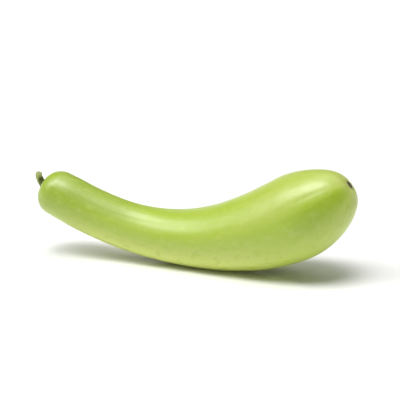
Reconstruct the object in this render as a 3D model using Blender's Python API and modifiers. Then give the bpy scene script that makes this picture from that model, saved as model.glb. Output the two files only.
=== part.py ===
"""A bottle gourd of the long, gently curved kind, lying on its belly with both ends off the surface.

Metres, +Z up. The fruit's curved middle line lies in the XZ plane, with the stem end towards -X and the
blossom end towards +X. The fruit rests on the plane z = 0, on a small flat spot under its weight.

Three pieces: the fruit, the cut stem on its neck end, and the corky scar that the flower left.
"""

import math
from collections import namedtuple

import bpy
import numpy as np
from mathutils import Vector

MM = 0.001
GAP = 0.3 * MM  # kept between pieces that touch

# The fruit's middle line, from the neck tip to the blossom tip.
LENGTH = 371.5 * MM
NECK_TIP = Vector((-191.9 * MM, 0.0, 76.8 * MM))
# How steeply it climbs, in degrees, at four places given as shares of its length.
CLIMB_AT = (0.0, 0.33, 0.67, 1.0)
CLIMB = (-28.5, -10.0, 18.5, 41.0)
# Radius of the wall at six even places, before the two ends are rounded off.
RADIUS_AT = (0.0, 0.2, 0.4, 0.6, 0.8, 1.0)
RADIUS = (24.2 * MM, 25.7 * MM, 28.2 * MM, 37.0 * MM, 44.0 * MM, 37.1 * MM)
# Shallow flutes run along the fruit, and one broad, slow swell winds round it.
FLUTES, FLUTE_DEPTH = 7, 0.4 * MM
SWELL_DEPTH, SWELL_TURNS = 0.5 * MM, 1.4

# The stem: a ribbed stub that leaves along the middle line and curves upwards.
STEM_LENGTH, STEM_RADIUS = 17.0 * MM, 3.1 * MM
STEM_FOOT_RADIUS, STEM_FOOT_HEIGHT = 5.8 * MM, 4.2 * MM
STEM_END_RADIUS, STEM_END_EDGE = 3.6 * MM, 0.4 * MM
STEM_CLIMB = 102.0  # degrees above -X at its cut end
STEM_RIBS, STEM_RIB_SHARE = 5, 0.12  # rib depth as a share of the radius

# The blossom scar: a low corky button with a pit in its middle.
SCAR_RADIUS, SCAR_RISE, SCAR_PIT = 4.2 * MM, 0.7 * MM, 0.9 * MM

# One end of the fruit: how long and how square its rounding is, the soft hollow in its middle, and the
# seat that holds the stem or the scar.
End = namedtuple("End", "length power full_radius hollow_depth hollow_radius piece_radius seat_depth rings")
NECK_END = End(20.4 * MM, 2.2, RADIUS[0], 1.6 * MM, 10.0 * MM, STEM_FOOT_RADIUS, 1.6 * MM, 10)
BLOSSOM_END = End(74.3 * MM, 2.0, RADIUS[-1], 5.8 * MM, 15.0 * MM, SCAR_RADIUS, 1.0 * MM, 15)

FRUIT_STEPS, STEM_STEPS, SCAR_STEPS = 56, 30, 28
WALL_RINGS, STEM_RINGS = 22, 14
LINE_PARTS = 400  # straight parts that stand for a middle line
CUTTER_SIZE = (300 * MM, 120 * MM, 40 * MM)

climb_curve = np.poly1d(np.polyfit(CLIMB_AT, CLIMB, len(CLIMB) - 1))
radius_curve = np.poly1d(np.polyfit(RADIUS_AT, RADIUS, len(RADIUS) - 1))


def clear_scene():
    for obj in list(bpy.data.objects):
        bpy.data.objects.remove(obj, do_unlink=True)


def new_collection(name):
    collection = bpy.data.collections.new(name)
    bpy.context.scene.collection.children.link(collection)
    return collection


def material(name, colour, roughness):
    finish = bpy.data.materials.new(name)
    finish.use_nodes = True
    shader = finish.node_tree.nodes["Principled BSDF"]
    shader.inputs["Base Color"].default_value = (*colour, 1.0)
    shader.inputs["Roughness"].default_value = roughness
    shader.inputs["Metallic"].default_value = 0.0
    return finish


def turned(name, profile, steps):
    """A closed turned mesh round Z. The profile holds (radius, height) pairs, from the top to the bottom."""
    outline = bpy.data.meshes.new(name + "_outline")
    corners = [(radius, 0.0, height) for radius, height in profile]
    outline.from_pydata(corners, [(i, i + 1) for i in range(len(corners) - 1)], [])
    blank = bpy.data.objects.new(name + "_blank", outline)
    bpy.context.scene.collection.objects.link(blank)
    screw = blank.modifiers.new("turn", "SCREW")
    screw.axis = "Z"
    screw.steps = screw.render_steps = steps
    screw.use_merge_vertices = True
    screw.merge_threshold = 0.01 * MM
    graph = bpy.context.evaluated_depsgraph_get()
    mesh = bpy.data.meshes.new_from_object(blank.evaluated_get(graph))
    mesh.name = name
    bpy.data.objects.remove(blank, do_unlink=True)
    return mesh


def move_points(mesh, rule):
    for vertex in mesh.vertices:
        vertex.co = rule(vertex.co)
    mesh.update()


def widened(point, change):
    """The point moved away from the Z axis by change(angle, height)."""
    radius = math.hypot(point.x, point.y)
    if radius < GAP:
        return point
    share = 1 + change(math.atan2(point.y, point.x), point.z) / radius
    return Vector((point.x * share, point.y * share, point.z))


def middle_line(start, climb_at, length, towards):
    """A line in the XZ plane: a function that gives its point and its direction at a distance along it.

    climb_at gives its climb in degrees at a distance. towards is +1 or -1, the way it runs along X.
    """
    step = length / LINE_PARTS

    def direction(distance):
        climb = math.radians(climb_at(min(max(distance, 0.0), length)))
        return Vector((towards * math.cos(climb), 0.0, math.sin(climb)))

    points = [start.copy()]
    for i in range(LINE_PARTS):
        points.append(points[-1] + step * direction((i + 0.5) * step))

    def at(distance):
        i = min(max(int(distance / step), 0), LINE_PARTS)
        along = direction(distance)
        return points[i] + (distance - i * step) * along, along

    return at


def bend(mesh, line):
    """Lays a shape that stands on Z along a middle line: its height becomes the distance along the line."""

    def laid(point):
        place, along = line(point.z)
        across = Vector((along.z, 0.0, -along.x))
        return place + point.x * across + Vector((0.0, point.y, 0.0))

    move_points(mesh, laid)


def add_piece(mesh, name, collection, finish):
    mesh.materials.append(finish)
    mesh.shade_smooth()
    mesh.set_sharp_from_angle(angle=math.radians(40))
    piece = bpy.data.objects.new(name, mesh)
    collection.objects.link(piece)
    return piece


def opened(share, power):
    """How far a rounded end has opened: 0 at its tip, 1 where the wall runs free."""
    return (1 - (1 - min(max(share, 0.0), 1.0)) ** power) ** (1 / power)


def wall_radius(distance):
    neck = opened(distance / NECK_END.length, NECK_END.power)
    blossom = opened((LENGTH - distance) / BLOSSOM_END.length, BLOSSOM_END.power)
    return radius_curve(distance / LENGTH) * neck * blossom


def end_profile(end, wall_at):
    """(radius, depth below the tip) pairs for one end, from its free wall to the middle of its seat."""
    rim_radius = end.piece_radius + 2 * GAP
    first_turn = math.asin((rim_radius / end.full_radius) ** (end.power / 2))
    pairs = []
    for i in range(end.rings, -1, -1):
        turn = first_turn + (math.pi / 2 - first_turn) * i / end.rings
        depth = end.length * (1 - math.cos(turn) ** (2 / end.power))
        radius = wall_at(depth)
        hollow = end.hollow_depth * math.exp(-((radius / end.hollow_radius) ** 2))
        pairs.append((radius, depth + hollow))
    floor = pairs[-1][1] + end.seat_depth
    return pairs + [(end.piece_radius + GAP, floor), (0.0, floor)]


NECK_PROFILE = end_profile(NECK_END, wall_radius)
BLOSSOM_PROFILE = end_profile(BLOSSOM_END, lambda depth: wall_radius(LENGTH - depth))
NECK_FLOOR, BLOSSOM_FLOOR = NECK_PROFILE[-1][1], LENGTH - BLOSSOM_PROFILE[-1][1]

fruit_line = middle_line(NECK_TIP, lambda distance: climb_curve(distance / LENGTH), LENGTH, 1)


def fruit_swell(angle, height):
    """Flutes and the slow swell, both strongest in the middle and gone at the ends."""
    share = height / LENGTH
    flutes = FLUTE_DEPTH * math.cos(FLUTES * angle)
    swell = SWELL_DEPTH * math.sin(2 * angle + SWELL_TURNS * 2 * math.pi * share)
    return (flutes + swell) * math.sin(math.pi * min(max(share, 0.0), 1.0)) ** 2


def build_fruit(collection, cutters):
    blossom = [(radius, LENGTH - depth) for radius, depth in reversed(BLOSSOM_PROFILE)]
    run = LENGTH - NECK_END.length - BLOSSOM_END.length
    heights = [NECK_END.length + run * i / WALL_RINGS for i in range(WALL_RINGS - 1, 0, -1)]
    wall = [(wall_radius(height), height) for height in heights]
    mesh = turned("fruit", blossom + wall + NECK_PROFILE, FRUIT_STEPS)
    move_points(mesh, lambda point: widened(point, fruit_swell))
    bend(mesh, fruit_line)
    fruit = add_piece(mesh, "fruit", collection, material("gourd_skin", (0.36, 0.47, 0.09), 0.38))

    bpy.ops.mesh.primitive_cube_add(size=1.0, location=(0.0, 0.0, -CUTTER_SIZE[2] / 2))
    cutter = bpy.context.object
    cutter.name = "rest_cutter"
    cutter.scale = CUTTER_SIZE
    cutter.hide_render = True
    cutter.display_type = "WIRE"
    for holder in list(cutter.users_collection):
        holder.objects.unlink(cutter)
    cutters.objects.link(cutter)
    flat = fruit.modifiers.new("rest_spot", "BOOLEAN")
    flat.operation = "DIFFERENCE"
    flat.solver = "EXACT"
    flat.object = cutter


def stem_radius(height):
    foot = (STEM_FOOT_RADIUS - STEM_RADIUS) * math.exp(-((height / STEM_FOOT_HEIGHT) ** 2))
    end = (STEM_END_RADIUS - STEM_RADIUS) * (height / STEM_LENGTH) ** 4
    return STEM_RADIUS + foot + end


def stem_ribs(angle, height):
    """Ribs cut in from the round, from just above the seat to the cut end."""
    share = min(max((height - NECK_END.seat_depth) / STEM_FOOT_HEIGHT, 0.0), 1.0)
    return -STEM_RIB_SHARE * stem_radius(height) * share * (1 - math.cos(STEM_RIBS * angle))


def stem_climb(distance):
    """Straight out of the seat, then turning steadily upwards."""
    share = max(distance - NECK_END.seat_depth, 0.0) / (STEM_LENGTH - NECK_END.seat_depth)
    return -CLIMB[0] + (STEM_CLIMB + CLIMB[0]) * share


def build_stem(collection):
    profile = [(0.0, STEM_LENGTH), (STEM_END_RADIUS - STEM_END_EDGE, STEM_LENGTH)]
    for i in range(STEM_RINGS, -1, -1):
        height = (STEM_LENGTH - STEM_END_EDGE) * i / STEM_RINGS
        profile.append((stem_radius(height), height))
    profile.append((0.0, 0.0))
    mesh = turned("stem", profile, STEM_STEPS)
    move_points(mesh, lambda point: widened(point, stem_ribs))
    foot, _ = fruit_line(NECK_FLOOR - GAP)
    bend(mesh, middle_line(foot, stem_climb, STEM_LENGTH, -1))
    add_piece(mesh, "stem", collection, material("gourd_stem", (0.16, 0.17, 0.05), 0.75))


def build_scar(collection):
    bottom = BLOSSOM_FLOOR + GAP
    rim = BLOSSOM_FLOOR + BLOSSOM_END.seat_depth
    top = rim + SCAR_RISE
    shares = ((0.0, top - SCAR_PIT), (0.3, top - 0.8 * SCAR_PIT), (0.5, top), (0.75, top), (0.93, rim))
    profile = [(share * SCAR_RADIUS, height) for share, height in shares]
    profile += [(SCAR_RADIUS, rim - GAP), (SCAR_RADIUS, bottom), (0.0, bottom)]
    mesh = turned("blossom_scar", profile, SCAR_STEPS)
    bend(mesh, fruit_line)
    add_piece(mesh, "blossom_scar", collection, material("gourd_cork", (0.07, 0.06, 0.03), 0.85))


def main():
    clear_scene()
    gourd = new_collection("bottle_gourd")
    cutters = new_collection("cutters")
    build_fruit(gourd, cutters)
    build_stem(gourd)
    build_scar(gourd)


main()
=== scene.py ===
# %% [markdown]
# # A bottle gourd, lying on its belly
#
# The part has three pieces: the fruit, the cut stub of its stem and the corky scar that the flower left. The
# packed solids give their places and sizes. This script dresses each of them: a fine skin grown by the same
# rule as the solid, a ribbed stem, and a cracked cork button. Everything is in metres, with +Z up, the stem
# end towards -X and the blossom end towards +X.

# %% Load the frame
import math

import bpy
import numpy as np
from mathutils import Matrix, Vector
from mathutils.bvhtree import BVHTree


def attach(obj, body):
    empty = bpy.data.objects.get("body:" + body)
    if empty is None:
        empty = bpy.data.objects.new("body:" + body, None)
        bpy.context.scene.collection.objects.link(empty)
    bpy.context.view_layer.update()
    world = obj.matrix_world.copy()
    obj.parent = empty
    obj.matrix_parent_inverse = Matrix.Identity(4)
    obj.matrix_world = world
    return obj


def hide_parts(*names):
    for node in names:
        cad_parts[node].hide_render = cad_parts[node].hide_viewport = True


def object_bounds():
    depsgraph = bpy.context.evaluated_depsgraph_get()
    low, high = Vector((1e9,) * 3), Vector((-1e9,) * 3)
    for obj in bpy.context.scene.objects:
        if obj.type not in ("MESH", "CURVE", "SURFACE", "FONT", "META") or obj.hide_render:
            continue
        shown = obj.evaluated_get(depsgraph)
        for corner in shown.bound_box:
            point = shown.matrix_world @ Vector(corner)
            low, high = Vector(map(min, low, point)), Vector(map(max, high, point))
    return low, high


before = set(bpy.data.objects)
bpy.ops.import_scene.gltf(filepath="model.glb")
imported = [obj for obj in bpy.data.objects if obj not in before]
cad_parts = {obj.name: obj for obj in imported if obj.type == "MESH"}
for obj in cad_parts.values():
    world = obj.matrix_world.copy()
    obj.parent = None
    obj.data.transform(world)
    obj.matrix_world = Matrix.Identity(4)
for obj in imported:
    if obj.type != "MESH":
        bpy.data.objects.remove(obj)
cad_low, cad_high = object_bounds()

MM = 0.001
print("solid pieces:", sorted(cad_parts))
print("solid box in mm:", [round(side / MM, 1) for side in Vector(cad_high) - Vector(cad_low)])

# %% [markdown]
# ## A small language for finishes
#
# A finish is a tree of shader nodes. Wired up by hand it takes four lines a node, and the idea is lost. So
# one small class wraps a socket and lets sums be written as sums: `1 - mask` adds the Math node that does it.
# Every other node comes from one method, which takes the node's type, its settings and its inputs.


# %% Sockets that can be summed, and a recipe that makes nodes
class Wire:
    """One output socket of a recipe. A sum written with it adds the Math node for that sum."""

    def __init__(self, recipe, socket):
        self.recipe = recipe
        self.socket = socket

    def _sum(self, operation, first, second):
        return self.recipe.node("ShaderNodeMath", {"operation": operation}, {0: first, 1: second})

    def __add__(self, other):
        return self._sum("ADD", self, other)

    def __radd__(self, other):
        return self._sum("ADD", other, self)

    def __sub__(self, other):
        return self._sum("SUBTRACT", self, other)

    def __rsub__(self, other):
        return self._sum("SUBTRACT", other, self)

    def __mul__(self, other):
        return self._sum("MULTIPLY", self, other)

    def __rmul__(self, other):
        return self._sum("MULTIPLY", other, self)

    def __truediv__(self, other):
        return self._sum("DIVIDE", self, other)

    def __rtruediv__(self, other):
        return self._sum("DIVIDE", other, self)

    def __pow__(self, other):
        return self._sum("POWER", self, other)

    def __rpow__(self, other):
        return self._sum("POWER", other, self)


class Recipe:
    """The node tree of one finish or of the world, around its shader."""

    def __init__(self, owner, shader="Principled BSDF"):
        self.owner = owner
        self.owner.use_nodes = True
        self.tree = owner.node_tree
        self.shader = self.tree.nodes[shader]

    def join(self, value, socket):
        """Links a wire to a socket, or sets the socket to a number or a colour."""
        if isinstance(value, Wire):
            self.tree.links.new(value.socket, socket)
        else:
            socket.default_value = value

    def node(self, kind, settings=None, inputs=None, out=0):
        """One node. Its settings are set first, then each input takes a number, a colour or a wire."""
        made = self.tree.nodes.new(kind)
        for name, value in (settings or {}).items():
            setattr(made, name, value)
        for key, value in (inputs or {}).items():
            self.join(value, made.inputs[key])
        return Wire(self, made.outputs[out])

    def set(self, sockets):
        """Sets sockets of the shader itself, each to a number, a colour or a wire."""
        for name, value in sockets.items():
            self.join(value, self.shader.inputs[name])


print("a wire knows", sum(name.startswith("__r") for name in vars(Wire)), "reflected forms")


# %% Words that every finish uses
def mix(recipe, mask, first, second):
    """The first colour where the mask is 0, the second where it is 1."""
    colours = [c if isinstance(c, Wire) else (*c, 1.0) for c in (first, second)]
    return recipe.node("ShaderNodeMix", {"data_type": "RGBA"}, {0: mask, 6: colours[0], 7: colours[1]}, out=2)


def ramp_between(recipe, value, low, high, start=0.0, end=1.0):
    """Start below low, end above high, and a smooth change between."""
    inputs = {0: value, 1: low, 2: high, 3: start, 4: end}
    return recipe.node("ShaderNodeMapRange", {"interpolation_type": "SMOOTHSTEP"}, inputs)


def stretched(recipe, place, sizes):
    """A place divided by three sizes in metres, so that one unit of a pattern is that long each way."""
    scale = tuple(1 / size for size in sizes)
    return recipe.node("ShaderNodeVectorMath", {"operation": "MULTIPLY"}, {0: place, 1: scale})


def cloud(recipe, place, sizes, detail=2.0, rough=0.5):
    """Soft noise from 0 to 1, with lumps of about these sizes in metres."""
    inputs = {"Vector": stretched(recipe, place, sizes), "Scale": 1.0, "Detail": detail, "Roughness": rough}
    return recipe.node("ShaderNodeTexNoise", {}, inputs)


def dots(recipe, place, sizes):
    """Distance to the nearest of many scattered points, in units of their spacing."""
    inputs = {"Vector": stretched(recipe, place, sizes), "Scale": 1.0, "Randomness": 1.0}
    return recipe.node("ShaderNodeTexVoronoi", {"feature": "F1"}, inputs)


def bump(recipe, height, depth, strength):
    """A normal from a height of 0 to 1 that stands for this depth in metres."""
    return recipe.node("ShaderNodeBump", {}, {"Height": height, "Distance": depth, "Strength": strength})


def fading(recipe, value, low, high):
    """1 below low and 0 above high."""
    return ramp_between(recipe, value, low, high, 1.0, 0.0)


def axes_of(recipe, vector):
    """The three numbers of a vector."""
    parts = recipe.node("ShaderNodeSeparateXYZ", {}, {0: vector}).socket.node.outputs
    return [Wire(recipe, parts[k]) for k in range(3)]


def straight_place(recipe):
    """Where a point was before its piece was bent."""
    return recipe.node("ShaderNodeAttribute", {"attribute_name": "straight"}, out="Vector")


def side_out_along(recipe, place):
    """The side a straight place is on, from 1 towards x to -1 away from it, and how far out and along."""
    x, y, along = axes_of(recipe, place)
    out = (x * x + y * y) ** 0.5
    return x / out, out, along


print("finish language ready")

# %% [markdown]
# ## The camera
#
# The gourd is seen from its side, a little round towards the blossom end and a little from above, through a
# short telephoto lens about a metre away. The camera is set first, so that every later step can be judged
# from where the gourd is looked at.


# %% Camera
def from_angles(azimuth, elevation):
    """The unit direction that an azimuth from the front and an elevation, in degrees, point to."""
    a, e = math.radians(azimuth), math.radians(elevation)
    return Vector((math.sin(a) * math.cos(e), -math.cos(a) * math.cos(e), math.sin(e)))


def look_from(obj, place, target):
    """Puts a camera or a lamp at a place, turned towards the target."""
    obj.location = place
    obj.rotation_euler = (target - place).to_track_quat("-Z", "Y").to_euler()
    bpy.context.scene.collection.objects.link(obj)


VIEW_AZIMUTH, VIEW_ELEVATION, VIEW_DISTANCE = 18, 15, 0.994
AIM_PAST_MIDDLE = Vector((12.7 * MM, 0.0, 15.6 * MM))
LENS, FARTHEST_SEEN = 85.0, 100.0

look_at = (Vector(cad_low) + Vector(cad_high)) / 2 + AIM_PAST_MIDDLE
camera = bpy.data.objects.new("camera", bpy.data.cameras.new("camera"))
camera.data.lens = LENS
camera.data.clip_end = FARTHEST_SEEN
look_from(camera, look_at + VIEW_DISTANCE * from_angles(VIEW_AZIMUTH, VIEW_ELEVATION), look_at)
bpy.context.scene.camera = camera
print("camera looks at", [round(c / MM, 1) for c in look_at], "mm")

# %% [markdown]
# ## How the fruit grew
#
# The fruit swelled round a middle line that bends upwards at both ends. Two smooth curves say it all: how
# steeply the middle line climbs, and how far the wall stands from it. Each passes through a few places that
# were measured. The solid was made from the same numbers, so the fine skin lies on it. A remeshed copy of
# the solid was the other way, but its facets would show, and it would not know which way is along the fruit.

# %% Driving dimensions of the fruit
LENGTH = 371.5 * MM
NECK_TIP = np.array((-191.9, 0.0, 76.8)) * MM
CLIMB_AT, CLIMB = (0.0, 0.33, 0.67, 1.0), (-28.5, -10.0, 18.5, 41.0)
RADIUS_AT, RADIUS = (0.0, 0.2, 0.4, 0.6, 0.8, 1.0), (24.2, 25.7, 28.2, 37.0, 44.0, 37.1)
NECK_ROUND, NECK_POWER = 20.4 * MM, 2.2
BLOSSOM_ROUND, BLOSSOM_POWER = 74.3 * MM, 2.0
STEM_HOLLOW = (1.6 * MM, 10.0 * MM)
BLOSSOM_HOLLOW = (5.8 * MM, 15.0 * MM)
FLUTES, FLUTE_DEPTH = 7, 0.4 * MM
SWELL_DEPTH, SWELL_TURNS = 0.5 * MM, 1.4

climb_curve = np.poly1d(np.polyfit(CLIMB_AT, np.radians(CLIMB), len(CLIMB) - 1))
radius_curve = np.poly1d(np.polyfit(RADIUS_AT, np.multiply(RADIUS, MM), len(RADIUS) - 1))
print("widest radius in mm:", round(float(radius_curve(np.linspace(0, 1, 400)).max() / MM), 1))


# %% The middle line and the wall
class MiddleLine:
    """A line in the XZ plane, made by walking along it. It turns straight shapes into bent ones."""

    def __init__(self, start, climb_at, length, towards=1, parts=2000):
        self.length = length
        self.climb_at = climb_at
        self.towards = towards
        self.steps = np.linspace(0.0, length, parts + 1)
        along = self.direction((self.steps[1:] + self.steps[:-1]) / 2)
        walked = np.cumsum(along * (length / parts), axis=0)
        self.points = start + np.vstack((np.zeros(3), walked))

    def direction(self, distance):
        climb = self.climb_at(np.clip(distance, 0.0, self.length))
        return np.stack((self.towards * np.cos(climb), 0 * climb, np.sin(climb)), axis=-1)

    def bend(self, straight):
        """Points whose z is a distance along the line, and whose x and y are across it."""
        inside = np.clip(straight[:, 2], 0.0, self.length)
        place = np.stack([np.interp(inside, self.steps, self.points[:, k]) for k in range(3)], axis=-1)
        along = self.direction(inside)
        across = np.stack((along[:, 2], 0 * inside, -along[:, 0]), axis=-1)
        place += (straight[:, 2] - inside)[:, None] * along + straight[:, :1] * across
        place[:, 1] += straight[:, 1]
        return place


def opened(share, power):
    """How far a rounded end has opened: 0 at its tip, 1 where the wall runs free."""
    return (1 - (1 - np.clip(share, 0.0, 1.0)) ** power) ** (1 / power)


def wall_radius(distance):
    neck = opened(distance / NECK_ROUND, NECK_POWER)
    blossom = opened((LENGTH - distance) / BLOSSOM_ROUND, BLOSSOM_POWER)
    return radius_curve(distance / LENGTH) * neck * blossom


def hump(value, middle, width):
    """1 at the middle, fading to 0 over about the width on both sides."""
    return np.exp(-(((value - middle) / width) ** 2))


fruit_line = MiddleLine(NECK_TIP, lambda distance: climb_curve(distance / LENGTH), LENGTH)
print("blossom tip in mm:", np.round(fruit_line.points[-1] / MM, 1))

# %% [markdown]
# ## The skin
#
# A grid of rings and rows covers the fruit from pole to pole. Each point gets its form from what a grower
# would see, from large to small: seven shallow flutes and a slow swell, a fat end that sagged under its own
# weight, narrower ribs that wander between the flutes, a few thumb-wide dents, furrows that run up the fat
# end and break its shine, puckers that gather at the stem, and wrinkles drawn into the blossom end. All are
# modelled, because a bump alone would not show on the outline or in the exported mesh.

# %% Grid of the skin
ROWS = 224
NECK_RINGS, WALL_RINGS, BLOSSOM_RINGS = 50, 170, 90


def ring_distances():
    """Distances along the middle line, closer together where the ends turn over."""
    turn = np.linspace(0.0, math.pi / 2, NECK_RINGS, endpoint=False)
    neck = NECK_ROUND * (1 - np.cos(turn))
    wall = np.linspace(NECK_ROUND, LENGTH - BLOSSOM_ROUND, WALL_RINGS, endpoint=False)
    turn = np.linspace(math.pi / 2, 0.0, BLOSSOM_RINGS)
    blossom = LENGTH - BLOSSOM_ROUND * (1 - np.cos(turn))
    return np.concatenate((neck, wall, blossom))


def grid_faces(rings, rows):
    """Quads between rings of a closed tube. The first and last ring are single points."""
    faces = []
    for i in range(rows):
        faces.append((0, 1 + (i + 1) % rows, 1 + i))
    for ring in range(rings - 3):
        low, high = 1 + ring * rows, 1 + (ring + 1) * rows
        for i in range(rows):
            j = (i + 1) % rows
            faces.append((low + i, low + j, high + j, high + i))
    last, top = 1 + (rings - 3) * rows, 1 + (rings - 2) * rows
    for i in range(rows):
        faces.append((last + i, last + (i + 1) % rows, top))
    return faces


def ring_grid(values, rows):
    """Every (distance, angle) of a tube whose first and last ring are single points."""
    angles = np.linspace(0.0, 2 * math.pi, rows, endpoint=False)
    distance = np.concatenate((values[:1], np.repeat(values[1:-1], rows), values[-1:]))
    angle = np.concatenate(([0.0], np.tile(angles, len(values) - 2), [0.0]))
    return distance, angle


rings = ring_distances()
print("skin grid:", len(rings), "rings of", ROWS)

# %% [markdown]
# ### Waves, dents and furrows
#
# No fruit is turned on a lathe. Three kinds of small form lie over it: slow waves that wander everywhere,
# dents where it lay against something while it swelled, and furrows that the growing flesh pulled into the
# fat end. Each is a function of the distance along the fruit and the angle round it and gives metres, so
# they can be added up. Sculpting would give such forms once, but not as a rule that another fruit can use.


# %% Slow waves
def wandering(angle, share, waves, seed):
    """A few slow waves round and along the fruit, closed round it, with a height of about 1."""
    rng = np.random.default_rng(seed)
    total = 0 * angle
    for _ in range(waves):
        round_waves, along_waves = rng.integers(1, 5), rng.uniform(1.0, 5.0)
        phase, other = rng.uniform(0, 2 * math.pi, 2)
        total += np.sin(round_waves * angle + phase) * np.sin(2 * math.pi * along_waves * share + other)
    return total / math.sqrt(waves)


full_turn = np.linspace(0.0, 2 * math.pi, 360)
print("nine waves reach", np.round(np.abs(wandering(full_turn, 0.5, 9, seed=3)).max(), 2), "half way along")

# %% Dents
DENTS, DENT_STRETCH = 14, 1.6
DENT_PLACES, DENT_WIDTHS, DENT_DEPTHS = (0.08, 0.92), (7, 16), (0.1, 0.3)


def round_from(angle, turn, radius):
    """How far round the fruit a point is from a line at this turn, the short way."""
    return radius * (np.mod(angle - turn + math.pi, 2 * math.pi) - math.pi)


def dents(distance, angle, radius):
    """Shallow dents where the fruit lay on the ground or against a neighbour."""
    rng = np.random.default_rng(5)
    depth = 0 * distance
    for _ in range(DENTS):
        at, turn = rng.uniform(*DENT_PLACES) * LENGTH, rng.uniform(0, 2 * math.pi)
        width, deep = rng.uniform(*DENT_WIDTHS) * MM, rng.uniform(*DENT_DEPTHS) * MM
        across = hump(round_from(angle, turn, radius), 0.0, width)
        depth += deep * hump(distance - at, 0.0, DENT_STRETCH * width) * across
    return depth


print("dents:", DENTS, "of up to", DENT_DEPTHS[1], "mm")

# %% Furrows: turn in degrees, middle, reach, depth
FURROWS = (
    (-116, 335 * MM, 24 * MM, 0.26 * MM),
    (-158, 343 * MM, 16 * MM, 0.16 * MM),
    (-86, 346 * MM, 14 * MM, 0.14 * MM),
    (-35, 341 * MM, 20 * MM, 0.18 * MM),
    (48, 338 * MM, 24 * MM, 0.20 * MM),
    (118, 344 * MM, 16 * MM, 0.18 * MM),
)
FURROW_WIDTH = 2.8 * MM


def furrows(distance, angle, radius):
    """A few long shallow furrows that run up the fat end from the blossom hollow."""
    depth = 0 * distance
    for turn, middle, reach, deep in FURROWS:
        across = hump(round_from(angle, math.radians(turn), radius), 0.0, FURROW_WIDTH)
        depth += deep * hump(distance, middle, reach) * across
    return depth


print("furrows:", len(FURROWS))

# %% [markdown]
# ### Fuller places
#
# The fat end sags, and the shoulder bulges over the root of the stem. The solid has round sections and
# leaves both out, so here the skin stands up to 2 mm off it. Both are soft humps, the same on the left and
# right. A lattice could push the skin out as well, but a hump is one row of numbers and can be measured.

# %% Fuller places: middle, reach, turn and width in degrees, height
FULL_PLACES = (
    (272 * MM, 50 * MM, 40, 35, 1.7 * MM),
    (2 * MM, 5 * MM, 140, 35, 2.0 * MM),
    (16 * MM, 12 * MM, 180, 50, -0.9 * MM),
)
FORM_RADIUS = 20 * MM


def well_out(radius):
    """0 on the middle line and 1 from FORM_RADIUS outwards, so that a form leaves the poles alone."""
    return np.clip(radius / FORM_RADIUS, 0, 1)


def fullness(distance, angle, radius):
    """Fuller or flatter places, the same on both sides: the sagging fat end, and the shoulder by the stem."""
    turned = np.degrees(np.abs(np.mod(angle + math.pi, 2 * math.pi) - math.pi))
    fuller = 0 * distance
    for middle, reach, turn, width, high in FULL_PLACES:
        fuller += high * hump(distance, middle, reach) * hump(turned, turn, width)
    return fuller * well_out(radius)


print("fullest by", max(high for *_, high in FULL_PLACES) / MM, "mm")

# %% Form of the skin
RIB_DEPTH, RIB_SWAY, LUMP_DEPTH = 0.04 * MM, 1.4, 0.10 * MM
PUCKERS = (10, 0.30 * MM, 9.5 * MM, 4.5 * MM, 0.6, 2)
WRINKLES = (13, 0.22 * MM, 8.0 * MM, 4.0 * MM, 0.8, 3)


def folds(angle, radius, count, depth, middle, width, sway, waves):
    """Folds that gather round an end, deepest at the middle radius, and swaying a little as they go round."""
    return depth * np.cos(count * angle + sway * np.sin(waves * angle)) * hump(radius, middle, width)


def small_forms(distance, angle, radius):
    """All that makes the straight fruit other than round, in metres outwards."""
    share = distance / LENGTH
    middle = np.sin(math.pi * share) ** 2
    form = (FLUTE_DEPTH * np.cos(FLUTES * angle)) * middle
    form += SWELL_DEPTH * np.sin(2 * angle + SWELL_TURNS * 2 * math.pi * share) * middle
    sway = RIB_SWAY * wandering(angle, share, 5, seed=2)
    form += RIB_DEPTH * np.cos(3 * FLUTES * angle + sway) * np.sqrt(middle)
    form += LUMP_DEPTH * wandering(angle, share * 2, 9, seed=3) * well_out(radius)
    form -= dents(distance, angle, radius) + furrows(distance, angle, radius)
    return form + fullness(distance, angle, radius)


def drawn_in(angle, radius, neck_side):
    """How far the two ends are drawn in, with the folds that gather in them."""
    depth = np.where(neck_side, STEM_HOLLOW[0], BLOSSOM_HOLLOW[0])
    width = np.where(neck_side, STEM_HOLLOW[1], BLOSSOM_HOLLOW[1])
    gathered = np.where(neck_side, folds(angle, radius, *PUCKERS), folds(angle, radius, *WRINKLES))
    return depth * np.exp(-((radius / width) ** 2)) - gathered


def skin_form(distance, angle):
    """The straight skin: how far each point stands from the middle line, and where along it."""
    radius = wall_radius(distance)
    neck_side = distance / LENGTH < 0.5
    hollow = drawn_in(angle, radius, neck_side)
    along = distance + np.where(neck_side, hollow, -hollow)
    out = np.maximum(radius + np.where(radius > 0, small_forms(distance, angle, radius), 0), 0)
    return np.stack((out * np.cos(angle), out * np.sin(angle), along), axis=-1)


distance, angle = ring_grid(rings, ROWS)
straight = skin_form(distance, angle)
print("skin stands out at most", round(float(np.hypot(straight[:, 0], straight[:, 1]).max() / MM), 1), "mm")

# %% [markdown]
# ### A piece that remembers
#
# The fruit lies on a small flat spot, as a soft skin does, so points below the surface are brought up to it.
# Each piece also keeps where its points were before the bend. Its finish reads that, so a streak follows the
# bend and an end can be found by its distance. Object coordinates would let every streak run off the fruit.


# %% Helpers that rest, make and measure a piece
def rest_on(points, softness=0.35 * MM):
    """Points below the surface are brought up to it, with a soft edge round the spot."""
    height = points[:, 2]
    points[:, 2] = (height + np.sqrt(height**2 + softness**2)) / 2
    return points


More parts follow.
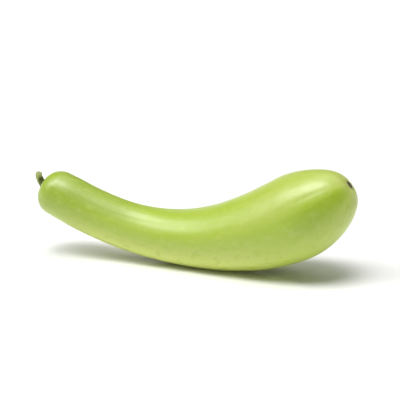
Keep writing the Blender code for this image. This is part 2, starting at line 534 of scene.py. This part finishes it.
def new_piece(name, points, faces, straight, finish):
    """A smooth mesh that remembers where its points were before it was bent, for its finish to follow."""
    mesh = bpy.data.meshes.new(name)
    mesh.from_pydata(points.tolist(), [], faces)
    memory = mesh.attributes.new("straight", "FLOAT_VECTOR", "POINT")
    memory.data.foreach_set("vector", straight.astype(np.float32).ravel())
    mesh.materials.append(finish)
    mesh.shade_smooth()
    mesh.update()
    piece = bpy.data.objects.new(name, mesh)
    bpy.context.scene.collection.objects.link(piece)
    return piece


MEASURE_EVERY = 7


def distance_to_solid(points, node):
    """The greatest distance in millimetres from these points to the surface of a solid."""
    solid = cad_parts[node].data
    tree = BVHTree.FromPolygons([v.co for v in solid.vertices], [tuple(p.vertices) for p in solid.polygons])
    return max(tree.find_nearest(Vector(point))[3] for point in points[::MEASURE_EVERY]) / MM


skin_points = rest_on(fruit_line.bend(straight))
print("skin leaves the solid by", round(distance_to_solid(skin_points, "fruit"), 2), "mm at most")

# %% [markdown]
# ### Finish of the skin
#
# Fresh bottle gourd is a light yellow-green with a soft, waxy shine. The colour isn't even: the neck is a
# deeper green, the belly that lay on the ground is pale, the shoulder yellows and the blossom end greys. The
# top of the neck is dull and painted darker as shade, the flanks of the fat end are painted deep green as
# shade, and its crest is painted pale as a highlight. Over that lie soft patches, faint streaks, pale flecks,
# thin tan scuffs and a few dark specks. The finish reads the remembered straight place, so all of it follows
# the bend of the fruit. A plain colour would look like plastic.

# %% Colours of the skin
FRESH_GREEN = (0.383, 0.496, 0.059)
DEEP_GREEN = (0.335, 0.475, 0.019)
# Painted shade on the flanks of the fat end:
FLANK_SHADE_GREEN = (0.281, 0.399, 0.017)
NECK_GREEN = (0.311, 0.426, 0.039)
# Painted shade on the top of the neck:
NECK_SHADE_GREEN = (0.235, 0.345, 0.018)
BELLY_PALE = (0.592, 0.671, 0.14)
# A painted highlight on the crest of the fat end:
CREST_HIGHLIGHT_PALE = (0.459, 0.538, 0.12)
FLECK_PALE = (0.488, 0.574, 0.12)
SCUFF_TAN = (0.50, 0.48, 0.20)
SPECK_DARK = (0.13, 0.15, 0.02)
YELLOW_SHOULDER = (0.46, 0.50, 0.10)
GREY_TIP = (0.44, 0.50, 0.10)
RUSSET = (0.20, 0.15, 0.05)
print("the belly is", round(BELLY_PALE[1] / FRESH_GREEN[1], 2), "times as light as the fresh green")

# %% [markdown]
# #### Ground colours
#
# Sun, soil and age set the real ground colours. The painted shade on the neck's top and on the fat end's
# flanks, and the painted highlight on the crest, are set the same way. Each lies in its own place: a band
# along the fruit, times a side of it. The side is a number from 1 on the belly to -1 on the crest, and the
# broad patches push its edges about, so that none is a ruled line. Painting on an unwrapped skin is the usual
# way, but a rule needs no image and moves with the shape.

# %% Ground colours of the skin
DEEPER_ALONG, NECK_ALONG = (200 * MM, 300 * MM), (100 * MM, 20 * MM)
BELLY_FROM, BELLY_WEAKER, BELLY_SIDE = (-20 * MM, 120 * MM), (210 * MM, 310 * MM), (-0.20, 0.70)
# Where the flanks of the fat end are painted with shade:
FLANK_SHADE_FROM, FLANK_SHADE_TOP, FLANK_SHADE_FOOT = (285 * MM, 330 * MM), (-0.30, -0.10), (0.50, 0.10)
# Where the crest of the fat end is painted pale as a highlight:
CREST_HIGHLIGHT_FROM, CREST_HIGHLIGHT_SIDE = (215 * MM, 285 * MM), (-0.12, -0.45)
# Where the top of the neck is dull and painted with shade:
DULL_SHADE_FROM, DULL_SHADE_UP_TO, DULL_SHADE_SIDE = (22 * MM, 42 * MM), (135 * MM, 95 * MM), (-0.25, -0.75)
print("the flanks turn deep green", round((LENGTH - FLANK_SHADE_FROM[1]) / MM, 1), "mm from the blossom end")


def dull_shaded_top(r, side, along, uneven):
    """Where the top of the neck has lost its wax, and where it is painted with shade."""
    top = ramp_between(r, side + 0.3 * uneven, *DULL_SHADE_SIDE)
    return top * ramp_between(r, along, *DULL_SHADE_FROM) * ramp_between(r, along, *DULL_SHADE_UP_TO)


def ground_colour(r, side, along, broad, dull_and_shade):
    """The broad greens of the skin, laid over one another, with painted shade and a painted crest highlight.
    """
    uneven = broad - 0.5
    deep = 0.6 * ramp_between(r, broad, 0.40, 0.68) + 0.4 * ramp_between(r, along, *DEEPER_ALONG)
    colour = mix(r, deep, FRESH_GREEN, DEEP_GREEN)
    colour = mix(r, ramp_between(r, along, *NECK_ALONG), colour, NECK_GREEN)

    belly_along = ramp_between(r, along, *BELLY_FROM) * ramp_between(r, along, *BELLY_WEAKER, 1.0, 0.4)
    belly = ramp_between(r, side + 0.25 * uneven, *BELLY_SIDE) * belly_along
    colour = mix(r, belly, colour, BELLY_PALE)

    wavy_side = side + 0.2 * uneven
    # The flanks of the fat end are painted a deeper green as shade.
    flank_shade = ramp_between(r, wavy_side, *FLANK_SHADE_TOP) * ramp_between(r, wavy_side, *FLANK_SHADE_FOOT)
    colour = mix(r, 0.8 * (flank_shade * ramp_between(r, along, *FLANK_SHADE_FROM)), colour, FLANK_SHADE_GREEN)
    # The crest of the fat end is painted pale as a highlight.
    crest_highlight = ramp_between(r, wavy_side, *CREST_HIGHLIGHT_SIDE) * ramp_between(r, along, *CREST_HIGHLIGHT_FROM)
    colour = mix(r, 0.6 * crest_highlight, colour, CREST_HIGHLIGHT_PALE)
    # The top of the neck is painted a darker green as shade.
    return mix(r, 0.6 * dull_and_shade, colour, NECK_SHADE_GREEN)


# %% [markdown]
# #### Mottling and marks
#
# Close to, the green is soft patches and faint streaks drawn out along the fruit. On it lie clusters of pale
# flecks, thin tan scuffs from handling and a few dark specks. Patches and streaks are noise stretched by
# different sizes each way, and flecks and specks are the nearest of many scattered points. Modelled marks
# would cost many faces for what is only colour.


# %% Mottling of the skin
PATCH_SIZES = (6 * MM, 6 * MM, 9 * MM)
STREAK_SIZES, GRAIN_SIZES = (3.2 * MM, 3.2 * MM, 70 * MM), (0.9 * MM, 0.9 * MM, 9 * MM)
print("a streak is about", round(STREAK_SIZES[2] / STREAK_SIZES[0]), "times as long as it is wide")


def mottled(r, colour, place, streaks, fine):
    """Soft patches, paler and deeper, with streaks and a fine grain along the fruit."""
    patches = cloud(r, place, PATCH_SIZES, detail=3.0, rough=0.6)
    colour = mix(r, 0.32 * ramp_between(r, patches, 0.52, 0.70), colour, FLECK_PALE)
    colour = mix(r, 0.40 * ramp_between(r, patches, 0.48, 0.32), colour, DEEP_GREEN)
    colour = mix(r, 0.12 * ramp_between(r, streaks, 0.45, 0.75), colour, FLECK_PALE)
    return mix(r, 0.18 * ramp_between(r, fine, 0.50, 0.75), colour, DEEP_GREEN)


# %% Marks on the skin
FLECK_SPACING, FLECK_CLUSTERS = (2.6 * MM, 2.6 * MM, 3.4 * MM), (14 * MM, 14 * MM, 24 * MM)
SCRATCH_SIZES, SCUFF_SIZES = (0.35 * MM, 0.35 * MM, 11 * MM), (9 * MM, 9 * MM, 14 * MM)
SPECK_SPACING = (7 * MM, 7 * MM, 8 * MM)
print("specks are about", round(SPECK_SPACING[0] / MM), "mm apart")


def pale_flecks(r, place):
    """Small pale flecks, in loose clusters."""
    clusters = ramp_between(r, cloud(r, place, FLECK_CLUSTERS, detail=1.0), 0.40, 0.62)
    return fading(r, dots(r, place, FLECK_SPACING), 0.10, 0.26) * clusters


def tan_scuffs(r, place):
    """Thin scratches along the fruit, where it was handled."""
    scratches = ramp_between(r, cloud(r, place, SCRATCH_SIZES, detail=1.0), 0.60, 0.68)
    return scratches * ramp_between(r, cloud(r, place, SCUFF_SIZES, detail=2.0), 0.56, 0.66)


def dark_specks(r, place):
    """A few dark specks, far apart."""
    return fading(r, dots(r, place, SPECK_SPACING), 0.035, 0.065)


# %% Both ends of the skin
SHOULDER_REACH, SHOULDER_ALONG = (7 * MM, 17 * MM), (14 * MM, 24 * MM)
TIP_REACH, TIP_ALONG = (6 * MM, 26 * MM), (20 * MM, 45 * MM)
RING_REACH, RING_ALONG = (4.5 * MM, 8.0 * MM), (15 * MM, 25 * MM)
print("the cork ring is", round(RING_REACH[1] / MM, 1), "mm in radius")


def yellowed_shoulder(r, colour, out, along):
    """The shoulder round the stem turns yellow first."""
    shoulder = fading(r, out, *SHOULDER_REACH) * (1 - ramp_between(r, along, *SHOULDER_ALONG))
    return mix(r, 0.75 * shoulder, colour, YELLOW_SHOULDER)


def greyed_tip(r, colour, out, to_tip):
    """The blossom end greys a little round its hollow."""
    tip = fading(r, out, *TIP_REACH) * fading(r, to_tip, *TIP_ALONG)
    return mix(r, 0.6 * tip, colour, GREY_TIP)


def cork_ring(r, out, to_tip):
    """The corky ring round the blossom scar, before its edge is made ragged."""
    return fading(r, out, *RING_REACH) * fading(r, to_tip, *RING_ALONG)


# %% [markdown]
# #### The whole skin
#
# The layers go on from the broadest to the smallest, and the two ends last. Wax gives the skin a soft second
# shine, which the coat of the shader does, and a little light goes into the flesh, which its subsurface
# does. Grain and pores are too fine to model and change no outline, so they are a bump, and a shallow one.

# %% Skin finish
BROAD_SIZES, PORE_SPACING = (38 * MM, 38 * MM, 90 * MM), (0.8 * MM, 0.8 * MM, 1.0 * MM)
RAGGED_SIZES, SKIN_RELIEF = (1.2 * MM, 1.2 * MM, 1.2 * MM), 0.12 * MM


def skin_finish():
    """The finish of the whole fruit, layer on layer."""
    r = Recipe(bpy.data.materials.new("gourd_skin"))
    place = straight_place(r)
    side, out, along = side_out_along(r, place)
    broad = cloud(r, place, BROAD_SIZES, detail=2.0)
    streaks = cloud(r, place, STREAK_SIZES, detail=3.0)
    fine = cloud(r, place, GRAIN_SIZES, detail=2.0)
    pores = dots(r, place, PORE_SPACING)
    ragged = cloud(r, place, RAGGED_SIZES, detail=3.0)
    dull_and_shade, fleck = dull_shaded_top(r, side, along, broad - 0.5), pale_flecks(r, place)
    ring = cork_ring(r, out, LENGTH - along)

    colour = ground_colour(r, side, along, broad, dull_and_shade)
    colour = mottled(r, colour, place, streaks, fine)
    colour = mix(r, 0.28 * fleck, colour, FLECK_PALE)
    colour = mix(r, 0.55 * tan_scuffs(r, place), colour, SCUFF_TAN)
    colour = mix(r, 0.7 * dark_specks(r, place), colour, SPECK_DARK)
    colour = yellowed_shoulder(r, colour, out, along)
    colour = greyed_tip(r, colour, out, LENGTH - along)
    colour = mix(r, ring * ramp_between(r, ragged, 0.35, 0.6), colour, RUSSET)
    relief = 0.5 * fine + 0.3 * streaks + 0.2 * pores
    r.set(
        {
            "Base Color": colour,
            "Roughness": 0.37 + 0.08 * broad + 0.08 * fleck + 0.2 * ring + 0.12 * dull_and_shade,
            "Normal": bump(r, relief, SKIN_RELIEF, 0.6),
            "Coat Weight": 0.40 - 0.30 * dull_and_shade,
            "Coat Roughness": 0.28,
            "Subsurface Weight": 0.12,
            "Subsurface Radius": (0.5, 1.0, 0.25),
            "Subsurface Scale": 2.5 * MM,
        }
    )
    return r.owner


gourd_skin = skin_finish()
print("skin finish:", len(gourd_skin.node_tree.nodes), "nodes")

# %% Make the skin
skin = new_piece("fruit_skin", skin_points, grid_faces(len(rings), ROWS), straight, gourd_skin)
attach(skin, "root")
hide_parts("fruit")
print("skin:", len(skin.data.polygons), "faces")

# %% [markdown]
# ## The stem
#
# The stem of a gourd is a firm stalk with five blunt ribs. It leaves the neck along the fruit, turns steeply
# up, and was cut almost straight across. It is grown by the fruit's rule: a straight stalk with its form
# written in, then bent along a middle line of its own. Five roots spread from the ribs onto the shoulder, and
# fine grooves run between them. The rim of the cut has dried round, and its face is slightly dished, with a
# ring of strands. A stretched cylinder would be quicker, but its ribs would not turn with the bend.

# %% Driving dimensions of the stem
STEM_SUNK = 2.9 * MM
STEM_LENGTH = 17.0 * MM
STEM_RADIUS, STEM_FOOT_RADIUS, STEM_END_RADIUS = 4.0 * MM, 5.9 * MM, 3.4 * MM
STEM_FOOT_HEIGHT = 4.2 * MM
STEM_SEAT = 1.6 * MM
STEM_END_CLIMB = 102.0
STEM_RIBS, STEM_RIB_SHARE = 5, 0.12
STEM_ROWS, STEM_RINGS = 160, 90
CUT_EDGE, CUT_EDGE_STEPS = 2.2 * MM, 8
CUT_INSET, CUT_FACE, CUT_FACE_RINGS = 0.33, 0.64, 24


def stem_climb(distance):
    """Straight out of the shoulder, then turning steadily upwards."""
    share = np.maximum(distance - STEM_SEAT, 0.0) / (STEM_LENGTH - STEM_SEAT)
    return np.radians(-CLIMB[0] + (STEM_END_CLIMB + CLIMB[0]) * share)


stem_foot = fruit_line.bend(np.array(((0.0, 0.0, STEM_SUNK),)))[0]
stem_line = MiddleLine(stem_foot, stem_climb, STEM_LENGTH, towards=-1)
print("stem ends at", np.round(stem_line.points[-1] / MM, 1), "mm")


# %% Wall of the stem
ROOT_HEIGHT, ROOT_MIDDLE, ROOT_WIDTH = 0.55 * MM, 2.6 * MM, 1.4 * MM
GROOVES, GROOVE_DEPTH, KNOT_HEIGHT = 31, 0.055 * MM, 0.07 * MM


def stem_form(distance, angle):
    """The stalk's wall: a flaring foot, five ribs that sharpen upwards, fine grooves and a swollen end."""
    share = distance / STEM_LENGTH
    foot = (STEM_FOOT_RADIUS - STEM_RADIUS) * np.exp(-((distance / STEM_FOOT_HEIGHT) ** 2))
    end = (STEM_END_RADIUS - STEM_RADIUS) * share**4
    radius = STEM_RADIUS + foot + end
    grown = np.clip((distance - STEM_SEAT) / STEM_FOOT_HEIGHT, 0, 1)
    sway = 0.25 * np.sin(2 * math.pi * share + 1.0) + 0.3 * share
    ribs = -STEM_RIB_SHARE * radius * grown * (1 - np.cos(STEM_RIBS * (angle + sway * grown)))
    roots = ROOT_HEIGHT * np.cos(STEM_RIBS * angle) * hump(distance, ROOT_MIDDLE, ROOT_WIDTH)
    grooves = GROOVE_DEPTH * np.cos(GROOVES * angle + 3 * np.sin(3 * angle) + 2 * np.sin(9 * share))
    knots = KNOT_HEIGHT * wandering(angle, share, 8, seed=8)
    return radius + ribs + roots + grooves * grown + knots


def stem_profile():
    """(distance, share of the wall radius) pairs, from the sunk middle up the wall and over the cut end."""
    wall = np.linspace(0.0, STEM_LENGTH - CUT_EDGE, STEM_RINGS)
    pairs = [(0.0, 0.0)] + [(height, 1.0) for height in wall]
    for turn in np.linspace(0.0, math.pi / 2, CUT_EDGE_STEPS)[1:]:
        height = STEM_LENGTH - CUT_EDGE * (1 - math.sin(turn))
        pairs.append((height, 1.0 - CUT_INSET * (1 - math.cos(turn))))
    for share in np.linspace(CUT_FACE, 0.0, CUT_FACE_RINGS):
        pairs.append((STEM_LENGTH, share))
    return np.array(pairs)


profile = stem_profile()
half_way = float(stem_form(np.full(360, STEM_LENGTH / 2), full_turn).mean())
print("stem:", len(profile), "rings,", round(2 * half_way / MM, 1), "mm across half way up")

# %% Cut end of the stem
STRANDS, STRAND_HEIGHT, STRAND_RING, STRAND_WIDTH = 10, 0.16 * MM, 0.72, 0.12
DISH_DEPTH, DISH_WIDTH = 0.55 * MM, 0.42
GUTTER_DEPTH, GUTTER_RING, GUTTER_WIDTH = 0.18 * MM, 0.5, 0.14
SAW_MARKS, SLANT, SLANT_TURN = 0.06 * MM, 0.07, 0.8


def cut_face(angle, inner):
    """The cut face, by its share out from the middle: a dish, a gutter, a ring of strands and saw marks."""
    strands = STRAND_HEIGHT * np.cos(STRANDS * angle + 0.5) * hump(inner, STRAND_RING, STRAND_WIDTH)
    gutter = GUTTER_DEPTH * hump(inner, GUTTER_RING, GUTTER_WIDTH)
    dish = -DISH_DEPTH * hump(inner, 0.0, DISH_WIDTH) - gutter
    rough = SAW_MARKS * np.sin(7 * angle + 40 * inner) * np.sin(3 * angle - 25 * inner)
    return strands + dish + rough * inner


def stem_shape():
    """The straight stalk with its cut end, which slants a little."""
    distance, angle = ring_grid(profile[:, 0], STEM_ROWS)
    share, _ = ring_grid(profile[:, 1], STEM_ROWS)
    radius = share * stem_form(distance, angle)
    cut = distance > STEM_LENGTH - 0.5 * CUT_EDGE
    face = np.where(cut, cut_face(angle, np.clip(share / CUT_FACE, 0, 1)), 0.0)
    slant = SLANT * radius * np.cos(angle - SLANT_TURN)
    along = distance + face + slant * (distance / STEM_LENGTH) ** 3
    return np.stack((radius * np.cos(angle), radius * np.sin(angle), along), axis=-1)


straight = stem_shape()
stem_points = stem_line.bend(straight)
print("stem reaches", round(float(stem_points[:, 2].max() / MM), 1), "mm above the floor")

# %% [markdown]
# ### Finish of the stem
#
# The stalk is fibre, so its colour is a grain drawn out along it, from dark to green, with straw blotches.
# It dries from the cut down, which turns it to straw. Its foot and the side that hangs over the neck are
# painted dark as shade. The cut has a pale pith with darker strands. The same straight place tells the finish
# where the cut is, so one material does for the whole piece and no face has to be picked by hand.

# %% Colours and places of the stem's finish
STEM_GREEN = (0.28, 0.36, 0.07)
STEM_STRAW = (0.54, 0.62, 0.25)
# Dark fibre of the grain, and painted shade at the foot:
STEM_DARK_AND_SHADE = (0.07, 0.085, 0.012)
# Painted shade on the side that hangs over the neck:
STEM_SHADED = (0.032, 0.044, 0.002)
STEM_PITH = (0.30, 0.31, 0.12)
STEM_STRAND = (0.12, 0.11, 0.035)
DRIED_FROM, DRIED_SIDE = (7 * MM, 12 * MM), (-0.85, -0.30)
# Places of painted shade at the foot and on the side over the neck:
FOOT_SHADE_UP_TO, SHADED_UP_TO, SHADED_SIDE = (2 * MM, 6 * MM), (14 * MM, 9 * MM), (-0.45, 0.25)
CUT_ALONG, CUT_REACH = (STEM_LENGTH - 0.9 * MM, STEM_LENGTH - 0.25 * MM), (1.9 * MM, 2.6 * MM)
CORE_REACH, STRAND_SPACING = (0.6 * MM, 1.6 * MM), (0.7 * MM, 0.7 * MM, 3 * MM)
FIBRE_SIZES, BLOTCH_SIZES, FIBRE_RELIEF = (0.5 * MM, 0.5 * MM, 7 * MM), (3 * MM, 3 * MM, 5 * MM), 0.15 * MM
print("the stem is dried from", round(DRIED_FROM[1] / STEM_LENGTH, 2), "of its length up")


# %% Stem finish
def stalk_colour(r, side, along, grain, blotch):
    """Grain and blotches, dried to straw from the top, with painted shade at the foot and on the hollow side.
    """
    colour = mix(r, ramp_between(r, grain, 0.35, 0.65), STEM_DARK_AND_SHADE, STEM_GREEN)
    colour = mix(r, 0.4 * ramp_between(r, blotch, 0.48, 0.65), colour, STEM_STRAW)
    dried = ramp_between(r, along, *DRIED_FROM) * ramp_between(r, grain, 0.2, 0.6, 0.35, 0.8)
    dried = dried * ramp_between(r, side, *DRIED_SIDE, 0.1, 1.0)
    colour = mix(r, dried, colour, STEM_STRAW)
    # Painted shade at the foot, where the stalk leaves the shoulder.
    colour = mix(r, 0.6 * fading(r, along, *FOOT_SHADE_UP_TO), colour, STEM_DARK_AND_SHADE)
    # Painted shade on the side that hangs over the neck.
    shaded = ramp_between(r, side, *SHADED_SIDE) * ramp_between(r, along, *SHADED_UP_TO)
    return mix(r, 0.85 * shaded, colour, STEM_SHADED)


def cut_colour(r, place, out):
    """Pale pith round a darker core, with strands through it."""
    pith = mix(r, ramp_between(r, out, *CORE_REACH), STEM_STRAND, STEM_PITH)
    strands = dots(r, place, STRAND_SPACING)
    return mix(r, fading(r, strands, 0.2, 0.45), pith, STEM_STRAND)


def stem_finish():
    """The finish of the stalk and of its cut end."""
    r = Recipe(bpy.data.materials.new("gourd_stem"))
    place = straight_place(r)
    side, out, along = side_out_along(r, place)
    grain = cloud(r, place, FIBRE_SIZES, detail=4.0, rough=0.6)
    blotch = cloud(r, place, BLOTCH_SIZES, detail=3.0)
    cut = ramp_between(r, along, *CUT_ALONG) * fading(r, out, *CUT_REACH)
    r.set(
        {
            "Base Color": mix(r, cut, stalk_colour(r, side, along, grain, blotch), cut_colour(r, place, out)),
            "Roughness": 0.62 + 0.2 * grain,
            "Normal": bump(r, grain + 0.4 * blotch, FIBRE_RELIEF, 0.8),
            "Subsurface Weight": 0.05,
            "Subsurface Radius": (0.5, 0.8, 0.2),
            "Subsurface Scale": 0.8 * MM,
            "Specular IOR Level": 0.22,
            "Sheen Weight": 0.04,
            "Sheen Roughness": 0.4,
        }
    )
    return r.owner


gourd_stem = stem_finish()
print("stem finish:", len(gourd_stem.node_tree.nodes), "nodes")

# %% Make the stem
stem = new_piece("stem_stub", stem_points, grid_faces(len(profile), STEM_ROWS), straight, gourd_stem)
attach(stem, "root")
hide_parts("stem")
print("stem:", len(stem.data.polygons), "faces")

# %% [markdown]
# ## The blossom scar
#
# Where the flower dropped off, the skin healed with a button of dark cork. It sits at the bottom of the
# puckered hollow: a ring of cracked cork round a small crater, with the dried root of the style in it. It
# could be pressed out of the skin, but cork is another material with a hard edge, so it is a piece of its
# own, on the fruit's middle line. Its large cracks are modelled, and its grain is relief in the finish.

# %% Driving dimensions of the scar
SCAR_RADIUS = 4.2 * MM
SCAR_RIM = LENGTH - 5.86 * MM
SCAR_RISE, SCAR_PIT, PIT_WIDTH = 0.7 * MM, 0.9 * MM, 0.4
SCAR_SKIRT, SKIRT_SHARE, EDGE_SHARE, EDGE_DROP = 3.0 * MM, 1.06, 0.9, 0.9 * MM
RIDGE_SHARE, RIDGE_WIDTH, RIDGE_LUMPS = 0.66, 0.24, 0.12 * MM
CRACKS, CRACK_DEPTH, CRACK_SHARE, CRACK_REACH = 9, 0.35 * MM, 0.72, 0.3
STUB_HEIGHT, STUB_WIDTH = 0.75 * MM, 0.16
SCAR_ROWS, SCAR_RINGS = 128, 64
print("scar:", round(2 * SCAR_RADIUS / MM, 1), "mm across, sunk by", round((LENGTH - SCAR_RIM) / MM, 1), "mm")


# %% Form of the scar
def scar_height(share, angle):
    """How far the button stands out of its hollow: a cracked ridge, a crater and a stub in it."""
    ridge = hump(share, RIDGE_SHARE, RIDGE_WIDTH)
    cracks = np.cos(CRACKS * angle + 1.4 * np.sin(2 * angle)) ** 8 * hump(share, CRACK_SHARE, CRACK_REACH)
    crater = (SCAR_PIT - SCAR_RISE) * hump(share, 0.0, PIT_WIDTH)
    lumps = wandering(angle, 3 * share, 10, seed=11)
    edge = np.clip((share - EDGE_SHARE) / (SKIRT_SHARE - EDGE_SHARE), 0, 1)
    height = SCAR_RISE * ridge - CRACK_DEPTH * cracks - crater
    height += STUB_HEIGHT * hump(share, 0.0, STUB_WIDTH) + RIDGE_LUMPS * lumps * ridge
    return height - EDGE_DROP * edge**2


def scar_shape():
    """The straight cork button, with a skirt that goes down under the skin. Its last point is the tip."""
    inwards = 1.0 - np.linspace(0.0, 1.0, SCAR_RINGS)[:-1]
    share, angle = ring_grid(np.concatenate(([0.0, SKIRT_SHARE], inwards)), SCAR_ROWS)
    skirt = np.where(np.arange(len(share)) <= SCAR_ROWS, SCAR_SKIRT, 0.0)
    wavy = 1 + 0.05 * np.cos(5 * angle + 0.7) + 0.03 * np.cos(9 * angle)
    radius = SCAR_RADIUS * share * wavy
    along = SCAR_RIM + scar_height(share, angle) - skirt
    return np.stack((radius * np.cos(angle), radius * np.sin(angle), along), axis=-1)


straight = scar_shape()
print("scar stands between", *np.round(np.sort(straight[:, 2] - LENGTH)[[0, -1]] / MM, 1), "mm from the pole")

# %% Scar finish
CORK_DARK = (0.018, 0.014, 0.006)
CORK_LIGHT = (0.16, 0.12, 0.05)
CORK_GRAIN, CORK_CRACKS = (0.5 * MM, 0.5 * MM, 0.8 * MM), (0.9 * MM, 0.9 * MM, 0.9 * MM)
CORK_RELIEF = 0.25 * MM


def cork_finish():
    """Dark cork with a light grain, matt all over."""
    r = Recipe(bpy.data.materials.new("gourd_cork"))
    place = straight_place(r)
    grain = cloud(r, place, CORK_GRAIN, detail=5.0, rough=0.65)
    cracks = dots(r, place, CORK_CRACKS)
    r.set(
        {
            "Base Color": mix(r, ramp_between(r, grain, 0.42, 0.72), CORK_DARK, CORK_LIGHT),
            "Roughness": 0.78 + 0.15 * grain,
            "Normal": bump(r, grain + 0.5 * cracks, CORK_RELIEF, 0.9),
            "Sheen Weight": 0.1,
        }
    )
    return r.owner


gourd_cork = cork_finish()
print("cork finish:", len(gourd_cork.node_tree.nodes), "nodes")

# %% Make the scar
scar_faces = grid_faces(SCAR_RINGS + 1, SCAR_ROWS)
scar = new_piece("cork_scar", fruit_line.bend(straight), scar_faces, straight, gourd_cork)
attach(scar, "root")
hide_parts("blossom_scar")
print("scar:", len(scar.data.polygons), "faces")

# %% [markdown]
# ## Floor and light
#
# The gourd lies on a white studio sweep, so bright that it runs into the background. The key light is broad,
# from overhead down to the left front, and draws the long soft highlight. One lamp can't have that shape, so
# four do it together: wide suns that overlap, each as many degrees across as a soft box would look from the
# gourd. A ceiling and weak lights behind keep the shade open. The sweep is a little glossy: it takes a green
# shine from the fruit, and mirrors the white wall that stands low all round, so its far part stays white.

# %% Floor
FLOOR_HALF = 15.0


def floor_finish():
    """White and a little glossy, the same all over."""
    r = Recipe(bpy.data.materials.new("sweep"))
    r.set({"Base Color": (0.97, 0.97, 0.97, 1.0), "Roughness": 0.09, "Specular IOR Level": 0.5})
    return r.owner


floor_mesh = bpy.data.meshes.new("sweep")
corners = [(-1, -1), (1, -1), (1, 1), (-1, 1)]
floor_mesh.from_pydata([(FLOOR_HALF * x, FLOOR_HALF * y, 0.0) for x, y in corners], [], [(0, 1, 2, 3)])
floor_mesh.materials.append(floor_finish())
floor = bpy.data.objects.new("sweep", floor_mesh)
bpy.context.scene.collection.objects.link(floor)
print("sweep is", 2 * FLOOR_HALF, "m wide")

# %% Room
WALL_BRIGHTNESS, HORIZON_BRIGHTNESS, ROOM_BRIGHTNESS = 0.7, 0.3, 0.01
WALL_FADES, HORIZON_FADES = (9.0, 16.0), (3.0, 7.0)

bpy.context.scene.view_settings.view_transform = "Standard"
bpy.context.scene.world = bpy.data.worlds.new("studio")


def paint_world():
    """A white wall all round, low down, so that the far floor mirrors white. Above it the room is dark."""
    r = Recipe(bpy.context.scene.world, "Background")
    height = axes_of(r, r.node("ShaderNodeTexCoord", out="Generated"))[2]

    def below(low, high):
        """1 under an elevation of so many degrees, and 0 over the other."""
        return fading(r, height, math.sin(math.radians(low)), math.sin(math.radians(high)))

    wall = WALL_BRIGHTNESS * below(*WALL_FADES) + HORIZON_BRIGHTNESS * below(*HORIZON_FADES)
    r.set({"Color": (1.0, 1.0, 1.0, 1.0), "Strength": ROOM_BRIGHTNESS + wall})


paint_world()
print("the wall is white up to", WALL_FADES[0], "degrees and dark from", WALL_FADES[1])

# %% Lights
LAMP_DISTANCE = 2.0


def softbox(name, azimuth, elevation, width, strength):
    """A soft light from far off, as wide in degrees as it looks from the gourd."""
    lamp = bpy.data.lights.new(name, "SUN")
    lamp.angle = math.radians(width)
    lamp.energy = strength
    place = look_at + LAMP_DISTANCE * from_angles(azimuth, elevation)
    look_from(bpy.data.objects.new(name, lamp), place, look_at)


softbox("ceiling", 0, 90, 40, 0.40)
softbox("key_top", -15, 78, 30, 1.68)
softbox("key_high", -30, 66, 30, 0.72)
softbox("key_middle", -60, 54, 26, 0.80)
softbox("key_low", -60, 40, 30, 0.45)
softbox("back_right", 120, 40, 45, 0.34)
softbox("back_left", 170, 62, 40, 0.47)
softbox("back_low", -150, 19, 22, 0.05)
